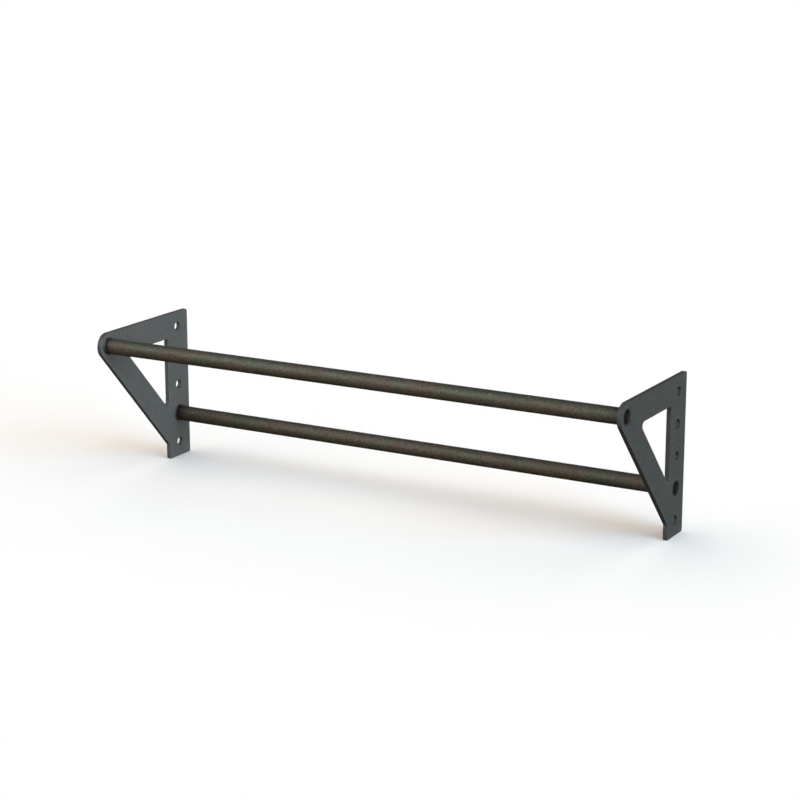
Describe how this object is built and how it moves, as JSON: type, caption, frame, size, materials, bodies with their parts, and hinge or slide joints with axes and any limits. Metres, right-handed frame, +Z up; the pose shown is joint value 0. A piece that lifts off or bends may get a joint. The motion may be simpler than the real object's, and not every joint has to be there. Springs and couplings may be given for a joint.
{
  "type": "pull up bar",
  "caption": "Double pull-up bar for a training rig: two triangular side plates with bolt holes carry a front bar and a lower rear bar.",
  "frame": {"origin": "mid width and mid depth of the object, on the level of the side plates' bottom edges", "axes": "+X along the bars to the right, +Y towards the upright side, -Y towards the user and the front bar, +Z up"},
  "size_m": [1.096, 0.288, 0.3],
  "materials": {
    "plate_coating": "matte dark blue-grey powder coating with a fine texture",
    "bar_steel": "oiled dark olive-brown steel with a fine lighter speckle",
    "weld_bead": "coated fillet weld bead",
    "plug_plastic": "black moulded plastic"
  },
  "bodies": {
    "root": {"left_side_plate": "plate_coating", "right_side_plate": "plate_coating", "front_bar": "bar_steel", "lower_bar": "bar_steel", "front_left_weld": "weld_bead", "front_right_weld": "weld_bead", "lower_left_weld": "weld_bead", "lower_right_weld": "weld_bead", "front_left_plug": "plug_plastic", "front_right_plug": "plug_plastic", "lower_left_plug": "plug_plastic", "lower_right_plug": "plug_plastic"}
  },
  "joints": []
}
